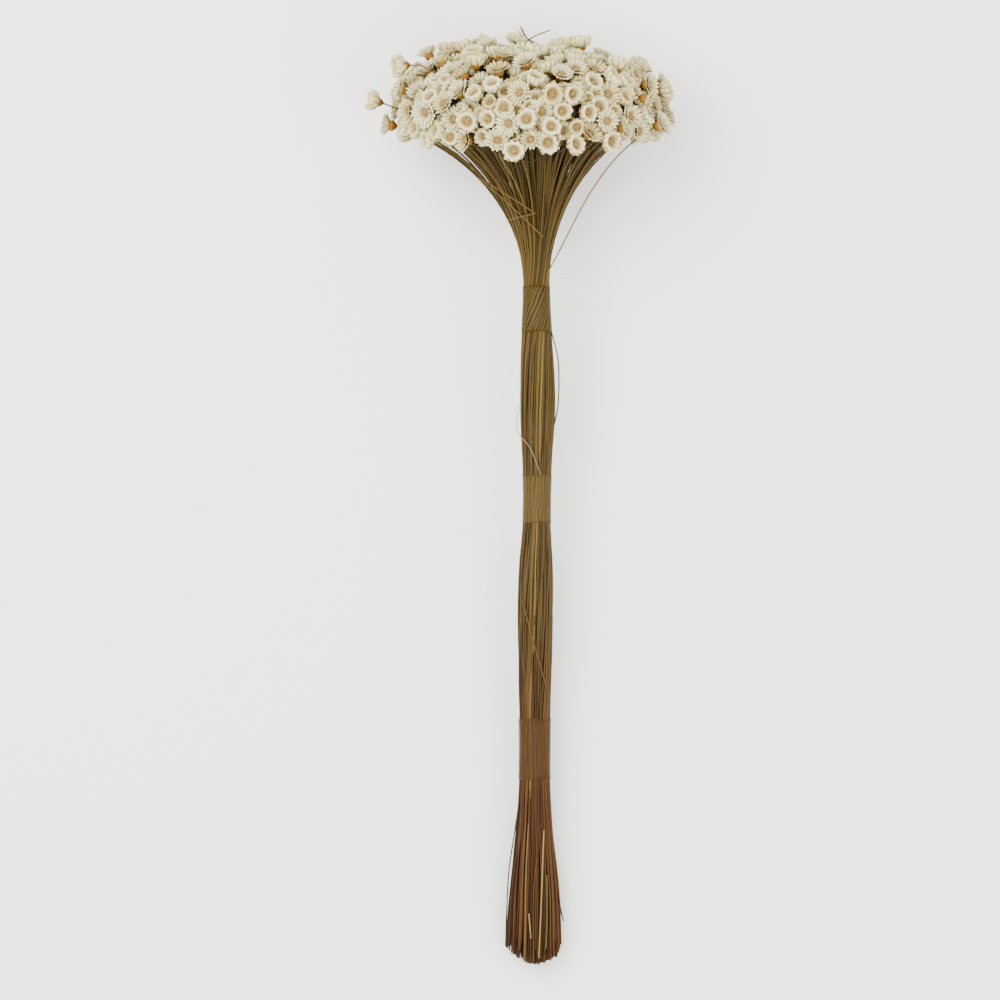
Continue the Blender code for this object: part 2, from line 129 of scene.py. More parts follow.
# A heading that rises more steeply than this counts as upright
NEARLY_UPRIGHT = 0.999

# Stems as drawn: thickness, wander across the bundle, and the ragged flaring cut
STEM_SPREAD = 0.97
STEM_RADII = (0.42, 0.6)
STEM_SIDES = 5
STEM_TONES = (0.0, 0.97)
STEM_STEP = 12.0
FAN_STEPS = 14
WANDER = 0.055
WANDER_WAVES = (2.5, 5.5)
CUT_FLARE = (0.75, 1.08)
CUT_FLARE_FROM = 110.0
CUT_FLARE_POWER = 1.5
CUT_CURVE = 9.0
CUT_RAGGED = 12.0

# Turned parts of a flower: (radius, height, how pale), from the foot up
CALYX = [(0.6, 0.0, 0.0), (1.45, 0.7, 0.1), (2.5, 2.0, 0.5), (2.95, 3.5, 0.9), (2.4, 4.2, 1.0)]
STAR_DISC = [(2.3, 4.2, 0.0), (2.2, 5.1, 0.5), (1.4, 5.7, 1.0), (0.4, 5.8, 1.0)]
CUP_DISC = [(2.3, 5.9, 0.0), (2.1, 6.7, 0.5), (1.3, 7.1, 1.0), (0.4, 7.2, 1.0)]
TURNED_SIDES = 9

# The cup's bowl, from the outside over its rolled rim and in; its lobes grow with the height
CUP_RIM_HEIGHT = 9.2
# Its inside is drawn darker down into the hollow: partly the bracts' own tan roots, partly painted shade in
# the hollow
CUP_BOWL = [
    (2.3, 3.0, 0.5),
    (4.3, 4.8, 0.9),
    (5.3, 6.8, 1.0),
    (5.5, 8.3, 1.0),
    (4.9, CUP_RIM_HEIGHT, 1.0),
    (4.0, 9.1, 0.85),
    (3.2, 8.0, 0.4),
    (2.7, 6.5, 0.1),
]
CUP_LOBES = 9
CUP_SIDES = 3 * CUP_LOBES
# Waves round the rim, the even lobes first, and the share of each
CUP_LOBE_WAVES = (CUP_LOBES, 3, 2)
CUP_LOBE_SHARES = (1.0, 0.8, 0.7)
CUP_LOBE_DEPTH = 0.07
CUP_LOBE_RISE = 0.35

# Rings of bracts: how many, and (out from the middle, height, half width, how pale) from root to tip
# The roots are drawn darker than the tips: partly the bracts' own tan, partly painted shade deep in the
# flower
STAR_BRACTS = [
    (18, [(1.6, 3.6, 0.8, 0.4), (3.6, 5.2, 1.25, 0.8), (5.6, 6.6, 1.1, 1.0), (7.2, 7.3, 0.15, 1.0)]),
    (14, [(1.4, 4.1, 0.8, 0.2), (2.9, 6.2, 1.1, 0.6), (4.4, 7.7, 0.95, 1.0), (5.6, 8.4, 0.15, 1.0)]),
]
CUP_BRACTS = [
    (
        11,
        [
            (2.2, 3.2, 1.0, 0.5),
            (4.6, 5.0, 1.6, 0.9),
            (5.7, 7.2, 1.7, 1.0),
            (5.8, 8.8, 1.2, 1.0),
            (5.4, 9.7, 0.25, 1.0),
        ],
    ),
    (8, [(2.0, 2.7, 0.9, 0.3), (4.5, 4.1, 1.6, 0.75), (6.1, 5.9, 1.3, 0.95), (6.8, 7.3, 0.15, 1.0)]),
]
BRACT_THICKNESS = 0.14
BRACT_SIDES = 4
# Chance in each bract: place in the ring, length at the third point past the root, lift at the fourth
BRACT_JITTER = 0.22
BRACT_LENGTHS = (0.88, 1.05)
BRACT_LIFT = 0.25
# Dry flowers stand a little fuller than the solids, whose petals keep clear of their neighbours
FULLNESS = 1.1
# The lowest stay off the surface where a bract is long
LOW_REACH = 0.93

# The chances in what only the scene has
DETAIL_SEED = 20

# Small half-open buds set back in the gaps between the flowers
BUDS = 150
BUD_PLACES = 3000
BUD_DEPTH = 3.0
LOWEST_BUD = 8.0
BUD_REACH = (4.4, 5.2)

# How many different flowers of each sort are made and repeated
STAR_LOOKS, CUP_LOOKS, BUD_LOOKS = 7, 5, 3

# Clear tape: where each film starts and ends along the bundle, how far its creases lean, how much
# it hides, its painted shade in the creases, and its colour between creases
TAPE = [
    ("upper", (374, 401), 0.45, 0.6, "#251c05", "#534110"),
    ("middle", (262, 290), 0.05, 0.35, "#4a3914", "#655127"),
    ("lower", (110, 146), 0.03, 0.35, "#3b260a", "#523718"),
]
FILM_SIDES = 60
FILM_STEPS = 10
FILM_THICKNESS = 0.12
FILM_CLEARANCE = 0.45
# Ridges over the stems beneath, which turn a little along the film, and wavy cut edges
FILM_RIDGE = 0.12
FILM_RIDGES = 19
FILM_RIDGE_TURN = 9
FILM_RAGGED = 0.5
FILM_RAGGED_WAVES = 3

# Bare stems that lie on the bunch: (x, y) as seen from above, how far off it, and their tones
BARE_RADIUS = 0.42
LYING_STEMS = [
    ([(-34.1, 464.5), (-17.0, 453.5), (-0.6, 442.8)], 1.2, 0.93),
    ([(-0.6, 442.8), (-8.5, 441.0), (-16.5, 439.2)], 1.2, 0.9),
    ([(-32.9, 463.3), (-14.0, 446.5), (4.1, 429.2)], 2.0, 0.95),
    ([(-8.2, 216.4), (-1.0, 190.0), (6.5, 163.5)], 0.3, 0.9),
    ([(-9.4, 551.5), (-4.0, 543.0), (7.0, 536.0)], 13.0, 0.2),
    ([(-24.0, 529.0), (-9.0, 541.0), (8.0, 549.0)], 14.0, 0.6),
    ([(-16.0, 476.5), (-4.6, 471.7), (10.9, 477.8)], 0.8, 0.1),
    ([(4.7, 80.0), (3.3, 41.2), (1.8, 4.1)], 0.3, 1.0),
    ([(6.5, 53.5), (6.6, 30.0), (5.9, 9.4)], 0.3, 0.0),
    ([(0.6, 62.9), (-1.4, 41.2), (-1.4, 0.6)], 0.4, 0.9),
    ([(-4.1, 30.6), (-3.5, 23.0), (-2.9, 15.9)], 0.6, 1.0),
]
# Stems that stand out at the side of the bundle, and how far above its middle
SIDE_STEMS = [
    ([(8.8, 375.1), (12.6, 360.0), (13.5, 345.7), (12.8, 330.0), (10.0, 316.3)], 2.0),
    ([(-7.5, 112.0), (-12.2, 80.6), (-15.8, 56.4), (-17.2, 32.3), (-17.9, 10.6)], 0.0),
    ([(6.5, 104.0), (8.6, 78.8), (11.8, 48.2), (16.4, 25.3)], 0.0),
]
SIDE_TONE = 0.35
# A fine thread that lies on the bundle
THREAD = [(-10.0, 331.0), (-11.2, 316.3), (-3.5, 305.8), (2.9, 289.9)]
THREAD_RADIUS = 0.25
THREAD_LIFT = 0.8
THREAD_TONE = 0.5
# A stray rests on the highest stem point within this reach past the nearest, and is then smoothed
STRAY_STEPS = 24
STRAY_REACH = 3.0
STRAY_SMOOTHING = 5

# The photo's width and middle on the bunch, from the real size of the flowers
PHOTO_WIDTH = 588.0
PHOTO_MIDDLE = (-21.2, 275.2)

# Studio, in metres and watts: the camera is far up so that the head isn't enlarged by its height
CAMERA_HEIGHT = 4.045
PICTURE_DISTANCE = 4.0
SENSOR_WIDTH = 36
FLOOR_SIZE = 4.0
SKY_STRENGTH = 1.85
LAMPS = [("key", (-0.7, 0.5, 1.6), 64), ("fill", (0.9, -0.3, 1.5), 25)]
LAMP_SIZE = 1.4
LAMP_AIM = (0, 0.1, 0.05)


@dataclass(frozen=True)
class Kind:
    """A kind of flower: its reach and the height of its tips, then how it is drawn at its usual reach."""

    reach: tuple
    tip: float
    usual_reach: float
    disc: list
    bracts: list


STAR = Kind(reach=(6.3, 8.0), tip=7.4, usual_reach=7.2, disc=STAR_DISC, bracts=STAR_BRACTS)
CUP = Kind(reach=(4.7, 6.0), tip=9.6, usual_reach=5.6, disc=CUP_DISC, bracts=CUP_BRACTS)


@dataclass
class Flower:
    """One flower: its stem's spot in the bundle, and its own place, heading, kind and size."""

    spot: np.ndarray
    even_centre: Vector
    even_heading: Vector
    centre: Vector
    heading: Vector
    kind: Kind
    reach: float
    bowed: bool = False

    @property
    def foot(self):
        return self.centre - self.heading * FACE_HEIGHT


def along(keys, place):
    """A smooth curve through the keys, read at each place."""
    places, values = np.array(keys, float).T
    slopes = np.gradient(values, places)
    place = np.clip(place, places[0], places[-1])
    k = np.clip(np.searchsorted(places, place) - 1, 0, len(places) - 2)
    span = places[k + 1] - places[k]
    u = (place - places[k]) / span
    rise = values[k + 1] - values[k]
    bend = (slopes[k] * span - rise) * (1 - u) - (slopes[k + 1] * span - rise) * u
    return values[k] + u * rise + u * (1 - u) * bend


def middle_height(place):
    """How high the middle of the bunch is above the surface, at that place along it."""
    return MIDDLE_HEIGHT_AT_CUT + MIDDLE_RISE * place


def bundle_point(spot, place):
    """Where a spot of the unit disc is at that place along the bundle."""
    radius = float(along(BUNDLE_RADIUS, place))
    twist = float(along(BUNDLE_TWIST, place))
    upright = radius * min(1.0, float(along(CUT_FLATNESS, place)))
    sine, cosine = math.sin(twist), math.cos(twist)
    x = radius * (cosine * spot[0] - sine * spot[1]) + float(along(BUNDLE_SWAY, place))
    z = upright * (sine * spot[0] + cosine * spot[1]) + middle_height(place)
    return Vector((x, place, z))


def unit(vectors):
    return vectors / np.linalg.norm(vectors, axis=-1, keepdims=True)


def sunflower(count):
    """Evenly spread spots in the unit disc, and the turn of each round it."""
    number = np.arange(count)
    turn = number * GOLDEN_ANGLE
    out = np.sqrt((number + 0.5) / count)
    return out[:, None] * np.stack([np.cos(turn), np.sin(turn)], axis=1), turn


def dome(polar, turn):
    """Points of the head's dome and its outward headings, for angles from the crown and round it."""
    power = 2 / HEAD_SQUARENESS
    out = np.abs(np.sin(polar)) ** power
    up = np.sign(np.cos(polar)) * np.abs(np.cos(polar)) ** power
    side = np.sin(turn)
    depth = np.where(side > 0, HEAD_ABOVE, HEAD_BELOW)
    x = HEAD_SHIFT + HEAD_HALF_WIDTH * out * np.cos(turn)
    y = HEAD_RIM + HEAD_RISE * up - FRONT_DROOP * np.maximum(side, 0) ** 2 * out**4
    z = middle_height(y) + depth * out * side
    steep = HEAD_SQUARENESS - 1
    outward = out**steep
    upward = np.sign(up) * np.abs(up) ** steep
    heading = (outward * np.cos(turn) / HEAD_HALF_WIDTH, upward / HEAD_RISE, outward * side / depth)
    return np.stack([x, y, z], axis=1), unit(np.stack(heading, axis=1))


def even_polar(shares):
    """Angles from the crown that give each flower an equal share of the dome's surface."""
    grid = np.linspace(0, RIM_POLAR, POLAR_STEPS)
    power = 2 / HEAD_SQUARENESS
    out = np.sin(grid) ** power * (HEAD_HALF_WIDTH + HEAD_BELOW) / 2
    up = np.sign(np.cos(grid)) * np.abs(np.cos(grid)) ** power * HEAD_RISE
    ring = np.hypot(np.diff(out), np.diff(up)) * (out[1:] + out[:-1]) / 2
    area = np.concatenate([[0], np.cumsum(ring)])
    return np.interp(shares, area / area[-1], grid)


def even_dome(count, turn):
    """That many points spread evenly from the crown to the rim, and their headings."""
    return dome(even_polar((np.arange(count) + 0.5) / count), turn)


def settle(centres, headings, pinned):
    """Pushes flowers clear of their neighbours and of the stems behind them, above the surface."""
    free = ~pinned[:, None]
    for _ in range(SETTLE_ROUNDS):
        push = np.zeros_like(centres)
        for (own_depth, own_room), (depth, room) in itertools.product(ROOM.items(), repeat=2):
            apart = (centres - own_depth * headings)[:, None] - (centres - depth * headings)[None]
            distance = np.linalg.norm(apart, axis=2) + np.eye(len(centres)) * OWN_DISTANCE
            short = np.maximum(own_room + room - distance, 0) / distance
            push += (apart * short[:, :, None]).sum(axis=1)
        centres = centres + push * free * SETTLE_SHARE
        centres[:, 2] = np.maximum(centres[:, 2], LOWEST_CENTRE)
    return centres


def lay_out_flowers():
    """Every flower of the head, by the same rule and the same chances as the part's."""
    rng = np.random.default_rng(SEED)
    spots, turn = sunflower(FLOWERS)
    even_centres, even_headings = even_dome(FLOWERS, turn + FRONT_CROWDING * np.cos(turn))
    centres = even_centres + rng.normal(0, PLACE_JITTER, even_centres.shape)
    centres += even_headings * rng.uniform(-DEPTH_JITTER, DEPTH_JITTER, (FLOWERS, 1))
    headings = unit(even_headings + rng.normal(0, HEADING_JITTER, even_headings.shape))
    headings[:, 2] *= np.where(centres[:, 2] < LOW_FLOWERS, LOW_HEADING, 1)
    headings = unit(headings)
    pinned = np.zeros(FLOWERS, bool)
    for place, heading in STRAYS:
        nearest = int(np.argmin(np.linalg.norm(centres - place, axis=1)))
        centres[nearest] = place
        headings[nearest] = unit(np.array(heading))
        pinned[nearest] = True
    bowed = nearest
    centres = settle(centres, headings, pinned)
    in_front = np.exp(-((centres[:, 0] / CUP_ZONE) ** 2)) * (centres[:, 2] > CUP_ZONE_HEIGHT)
    cup_share = CUP_SHARE + (CUP_SHARE_IN_FRONT - CUP_SHARE) * in_front
    is_cup = rng.uniform(0, 1, FLOWERS) < cup_share
    shortest, longest = np.where(is_cup[:, None], CUP.reach, STAR.reach).T
    reach = rng.uniform(shortest, longest)
    flowers = []
    for i, spot in enumerate(spots):
        kind = CUP if is_cup[i] else STAR
        heading = Vector(headings[i])
        face_height = centres[i][2] + (kind.tip - FACE_HEIGHT) * heading.z
        to_surface = face_height / math.sqrt(1 - heading.z**2)
        flowers.append(
            Flower(
                spot=spot * STEM_SPREAD,
                even_centre=Vector(even_centres[i]),
                even_heading=Vector(even_headings[i]),
                centre=Vector(centres[i]),
                heading=heading,
                kind=kind,
                reach=min(reach[i] * FULLNESS, to_surface * LOW_REACH),
                bowed=i == bowed,
            )
        )
    return flowers


def lay_out_buds(flowers, rng):
    """Small half-open heads set back in the widest gaps between the flowers."""
    spots, turn = sunflower(BUD_PLACES)
    centres, headings = even_dome(BUD_PLACES, turn)
    taken = np.array([tuple(flower.centre) for flower in flowers])
    room = np.linalg.norm(centres[:, None] - taken[None], axis=2).min(axis=1)
    buds = []
    while len(buds) < BUDS:
        widest = int(np.argmax(room))
        heading = Vector(headings[widest] + rng.normal(0, HEADING_JITTER, 3)).normalized()
        centre = Vector(centres[widest]) - heading * BUD_DEPTH
        centre.z = max(centre.z, LOWEST_BUD)
        buds.append(
            Flower(
                spot=spots[widest] * STEM_SPREAD,
                even_centre=centre,
                even_heading=Vector(headings[widest]),
                centre=centre,
                heading=heading,
                kind=CUP,
                reach=rng.uniform(*BUD_REACH),
            )
        )
        room = np.minimum(room, np.linalg.norm(centres - centres[widest], axis=1))
    return buds


def fan_point(flower, t):
    """A point of a stem above the neck, which leaves the bundle and turns to its flower."""
    start = bundle_point(flower.spot, NECK)
    way = (start - bundle_point(flower.spot, NECK - NECK_BACK)).normalized()
    if flower.bowed:
        way = Vector(BOW_LEAN).normalized()
    even_foot = flower.even_centre - flower.even_heading * FACE_HEIGHT
    leave = start + way * NECK_HANDLE
    arrive = even_foot - flower.even_heading * HEAD_HANDLE
    point = start * (1 - t) ** 3 + leave * 3 * t * (1 - t) ** 2
    point += arrive * 3 * t * t * (1 - t) + even_foot * t**3
    turn = (flower.even_heading - flower.heading) * HEAD_HANDLE
    return point + (flower.foot - even_foot) * t**4 + (flower.foot - even_foot + turn) * 4 * t**3 * (1 - t)


def stem_path(flower, rng):
    """A whole stem from its cut end, through the bundle and the fan, to the foot of its flower."""
    across = bundle_point(flower.spot, 0).x / BUNDLE_RADIUS[0][1]
    cut_at = CUT_CURVE * across**2 + CUT_RAGGED * rng.uniform() ** 2
    flare = rng.uniform(*CUT_FLARE)
    waves = rng.uniform(*WANDER_WAVES, 2) * TURN / NECK
    phases = rng.uniform(0, TURN, 2)
    points = []
    for place in np.linspace(cut_at, NECK, int((NECK - cut_at) / STEM_STEP) + 1)[:-1]:
        wander = WANDER * math.sin(math.pi * place / NECK) * np.sin(waves * place + phases)
        opened = 1 + (flare - 1) * max(0, 1 - place / CUT_FLARE_FROM) ** CUT_FLARE_POWER
        spot = flower.spot * opened + wander
        outside = np.linalg.norm(spot) / (STEM_SPREAD * max(1, opened))
        point = bundle_point(spot / max(1, outside), place)
        point.z = max(point.z, STEM_RADII[1])
        points.append(point)
    return points + [fan_point(flower, t) for t in np.linspace(0, 1, FAN_STEPS)]


def facing(heading):
    """A turning matrix whose Z axis is the heading and whose X axis is level, or nearly so."""
    z = Vector(heading).normalized()
    beside = Vector((0, 0, 1)) if abs(z.z) < NEARLY_UPRIGHT else Vector((0, 1, 0))
    x = beside.cross(z).normalized()
    return Matrix((x, z.cross(x), z)).transposed().to_4x4()


def start_face(bm, transform, sides):
    """A regular face of unit radius, placed by the transform."""
    made = bmesh.ops.create_circle(bm, cap_ends=True, segments=sides, radius=1, matrix=transform)
    return made["verts"][0].link_faces[0]


def corners(made):
    return [item for item in made if isinstance(item, bmesh.types.BMVert)]


def faces(made):
    return [item for item in made if isinstance(item, bmesh.types.BMFace)]


def sweep(bm, frames, sides):
    """A closed shape from a regular face, extruded from frame to frame; returns its rings of corners."""
    face = start_face(bm, frames[0], sides)
    rings = [list(face.verts)]
    for here, there in zip(frames, frames[1:]):
        made = bmesh.ops.extrude_face_region(bm, geom=[face, *face.edges])["geom"]
        rings.append(corners(made))
        bmesh.ops.transform(bm, matrix=there @ here.inverted(), verts=rings[-1])
        [face] = faces(made)
    return rings


def tube(points, radius):
    """A closed round tube through the points, as a bmesh."""
    ways = [points[1] - points[0]]
    ways += [after - before for before, after in zip(points, points[2:])]
    ways.append(points[-1] - points[-2])
    turned = facing(ways[0])
    size = Matrix.Diagonal((radius, radius, 1, 1))
    frames = []
    for point, before, way in zip(points, [ways[0], *ways], ways):
        turned = before.rotation_difference(way).to_matrix().to_4x4() @ turned
        frames.append(Matrix.Translation(point) @ turned @ size)
    bm = bmesh.new()
    sweep(bm, frames, STEM_SIDES)
    return bm


# The slots of a flower's materials
CALYX_SLOT, BRACT_SLOT, DISC_SLOT = range(3)


def mark(rings, values, pale, slot):
    """Gives the rings of a new shape their paleness, and its faces their material."""
    for ring, value in zip(rings, values):
        for vert in ring:
            vert[pale] = value
            for face in vert.link_faces:
                face.material_index = slot


def turned_part(bm, pale, profile, sides, slot):
    """A closed turned shape through a profile's radii and heights; returns its rings."""
    frames = [
        Matrix.Translation((0, 0, height)) @ Matrix.Diagonal((radius, radius, 1, 1))
        for radius, height, _ in profile
    ]
    rings = sweep(bm, frames, sides)
    mark(rings, [value for _, _, value in profile], pale, slot)
    return rings


def cup_bowl(bm, pale, rng):
    """Closed bracts grown together in a bowl, whose lobes swell and rise towards the rolled rim."""
    phases = rng.uniform(0, TURN, 3)
    for ring, (_, height, _) in zip(turned_part(bm, pale, CUP_BOWL, CUP_SIDES, BRACT_SLOT), CUP_BOWL):
        for vert in ring:
            turn = math.atan2(vert.co.y, vert.co.x)
            lobe = np.cos(np.array(CUP_LOBE_WAVES) * turn + phases) @ CUP_LOBE_SHARES
            vert.co.xy *= 1 + CUP_LOBE_DEPTH * lobe * height / CUP_RIM_HEIGHT
            vert.co.z += CUP_LOBE_RISE * lobe * height / CUP_RIM_HEIGHT


def bract(bm, pale, line, turn):
    """One papery bract: a thin pointed blade through the line, turned round the flower's axis."""
    frames = []
    for k, (out, height, half_width, _) in enumerate(line):
        before, after = line[max(k - 1, 0)], line[min(k + 1, len(line) - 1)]
        way = Vector((after[0] - before[0], 0, after[1] - before[1])).normalized()
        across = Vector((0, 1, 0))
        turned = Matrix((across, way.cross(across), way)).transposed().to_4x4()
        size = Matrix.Diagonal((half_width, BRACT_THICKNESS / 2, 1, 1))
        frames.append(Matrix.Translation((out, 0, height)) @ turned @ size)
    rings = sweep(bm, frames, BRACT_SIDES)
    mark(rings, [value for *_, value in line], pale, BRACT_SLOT)
    blade = [vert for ring in rings for vert in ring]
    bmesh.ops.rotate(bm, matrix=Matrix.Rotation(turn, 3, "Z"), verts=blade)


def flower_look(kind, rng):
    """A flower of that kind at its usual size, standing on its foot at the origin."""
    bm = bmesh.new()
    pale = bm.verts.layers.float.new("pale")
    turned_part(bm, pale, CALYX, TURNED_SIDES, CALYX_SLOT)
    turned_part(bm, pale, kind.disc, TURNED_SIDES, DISC_SLOT)
    if kind is CUP:
        cup_bowl(bm, pale, rng)
    for count, shape in kind.bracts:
        first = rng.uniform(0, TURN)
        for k in range(count):
            turn = first + TURN * (k + rng.uniform(-BRACT_JITTER, BRACT_JITTER)) / count
            length, lift = rng.uniform(*BRACT_LENGTHS), rng.normal(0, BRACT_LIFT)
            line = [
                (out * (1 + (length - 1) * n / 3), height + lift * n / 4, width, value)
                for n, (out, height, width, value) in enumerate(shape)
            ]
            bract(bm, pale, line, turn)
    bmesh.ops.recalc_face_normals(bm, faces=bm.faces)
    return bm


def as_mesh(bm, name):
    mesh = bpy.data.meshes.new(name)
    bm.to_mesh(mesh)
    bm.free()
    return mesh


def piece(name, bm, materials):
    """A finished piece of the bunch: its mesh in metres, moved to the frame's origin."""
    bmesh.ops.translate(bm, vec=-Vector(BOX_MIDDLE), verts=bm.verts)
    bmesh.ops.scale(bm, vec=(MM, MM, MM), verts=bm.verts)
    for face in bm.faces:
        face.smooth = True
    mesh = as_mesh(bm, name)
    for material in materials:
        mesh.materials.append(material)
    made = bpy.data.objects.new(name, mesh)
    bpy.context.scene.collection.objects.link(made)
    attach(made, "root")
    return made


def give_values(made, name, values):
    """Writes a value on each point of a piece, for its material to read."""
    layer = made.data.attributes.new(name, "FLOAT", "POINT")
    layer.data.foreach_set("value", np.asarray(values, np.float32))


def flowers_piece(name, flowers, kind, looks, materials, rng):
    """All flowers of one kind as one piece, from a few looks turned and sized by chance."""
    templates = [as_mesh(flower_look(kind, rng), "look") for _ in range(looks)]
    bm = bmesh.new()
    tones, pales = [], []
    for flower in flowers:
        if flower.kind is not kind:
            continue
        template = templates[rng.integers(looks)].copy()
        size = flower.reach / kind.usual_reach
        turn = Matrix.Rotation(rng.uniform(0, TURN), 4, "Z")
        place = Matrix.Translation(flower.foot) @ facing(flower.heading) @ turn
        pales += [value.value for value in template.attributes["pale"].data]
        tones += [rng.uniform()] * len(template.vertices)
        template.attributes.remove(template.attributes["pale"])
        template.transform(place @ Matrix.Diagonal((size, size, (1 + size) / 2, 1)))
        bm.from_mesh(template)
        bpy.data.meshes.remove(template)
    for template in templates:
        bpy.data.meshes.remove(template)
    made = piece(name, bm, materials)
    give_values(made, "tone", tones)
    give_values(made, "pale", pales)
    return made


def tubes_piece(name, paths, radii, tones, material):
    """Several stems as one piece, each with its own tone."""
    bm = bmesh.new()
    values = []
    for points, radius, tone in zip(paths, radii, tones):
        mesh = as_mesh(tube(points, radius), "stem")
        values += [tone] * len(mesh.vertices)
        bm.from_mesh(mesh)
        bpy.data.meshes.remove(mesh)
    bmesh.ops.recalc_face_normals(bm, faces=bm.faces)
    made = piece(name, bm, [material])
    give_values(made, "tone", values)
    return made


def film_rings(bm):
    """A closed thin-walled tube of unit radius, as rings of corners that still lie on one another."""
    disc = start_face(bm, Matrix.Identity(4), FILM_SIDES)
    wall = bmesh.ops.inset_region(bm, faces=[disc], thickness=FILM_THICKNESS, use_boundary=True)["faces"]
    bmesh.ops.delete(bm, geom=[disc], context="FACES")
    rings = [list(bm.verts)]
    for _ in range(FILM_STEPS):
        edges = {edge for face in wall for edge in face.edges}
        made = bmesh.ops.extrude_face_region(bm, geom=[*wall, *edges])["geom"]
        wall = faces(made)
        rings.append(corners(made))
    return rings


def film_band(name, low, high, material):
    """Clear film wound round the bundle, drawn in a little over the stems that lie beneath it."""
    bm = bmesh.new()
    around = bm.verts.layers.float.new("around")
    for k, ring in enumerate(film_rings(bm)):
        at_edge = k in (0, FILM_STEPS)
        for vert in ring:
            outer = vert.co.xy.length > 1 - FILM_THICKNESS / 2
            turn = math.atan2(vert.co.y, vert.co.x)
            ragged = FILM_RAGGED * math.sin(FILM_RAGGED_WAVES * turn + low) * at_edge
            place = low + (high - low) * k / FILM_STEPS + ragged
            ridges = FILM_RIDGE * math.sin(FILM_RIDGES * turn + place / FILM_RIDGE_TURN)
            radius = float(along(BUNDLE_RADIUS, place)) + FILM_CLEARANCE + ridges
            radius += FILM_THICKNESS * outer
            vert[around] = radius * MM * math.atan2(vert.co.x, vert.co.y)
            x = radius * math.cos(turn) + float(along(BUNDLE_SWAY, place))
            vert.co = (x, place, middle_height(place) + radius * math.sin(turn))
    bmesh.ops.recalc_face_normals(bm, faces=bm.faces)
    made = piece(name, bm, [material])
    return made


def curve_through(points):
    """Points along a smooth curve through a few given ones."""
    keys = np.linspace(0, 1, len(points))
    columns = [list(zip(keys, column)) for column in np.array(points, float).T]
    return [Vector([float(along(column, t)) for column in columns]) for t in np.linspace(0, 1, STRAY_STEPS)]


def lying(points, lift, stem_points):
    """A curve that lies on the front of the bunch, lifted a little off the stems or flowers there."""
    curve = curve_through([(*point, 0) for point in points])
    heights = []
    for point in curve:
        away = np.hypot(stem_points[:, 0] - point.x, stem_points[:, 1] - point.y)
        heights.append(stem_points[away < away.min() + STRAY_REACH, 2].max() + lift)
    heights = np.pad(heights, STRAY_SMOOTHING // 2, mode="edge")
    heights = np.convolve(heights, np.ones(STRAY_SMOOTHING) / STRAY_SMOOTHING, mode="valid")
    return [Vector((point.x, point.y, height)) for point, height in zip(curve, heights)]


def linear(code):
    """An sRGB hex colour as linear RGBA."""
    parts = [int(code[k : k + 2], 16) / 255 for k in (1, 3, 5)]
    return (*[c / 12.92 if c <= 0.04045 else ((c + 0.055) / 1.055) ** 2.4 for c in parts], 1.0)


def shader(name, **settings):
    """A new material and its Principled shader, with the settings that are even all over."""
    material = bpy.data.materials.new(name)
    material.use_nodes = True
    surface = material.node_tree.nodes["Principled BSDF"]
    for socket, value in settings.items():
        surface.inputs[socket.replace("_", " ")].default_value = value
    return material, surface


def add(tree, kind, inputs, **settings):
    """Adds a node with its settings, and sets or links its inputs."""
    made = tree.nodes.new(kind)
    for name, value in settings.items():
        setattr(made, name, value)
    for socket, value in inputs.items():
        if isinstance(value, bpy.types.NodeSocket):
            tree.links.new(value, made.inputs[socket])
        else:
            made.inputs[socket].default_value = value
    return made


# A Mix node's sockets for colour
MIX_A, MIX_B, MIX_RESULT = 6, 7, 2


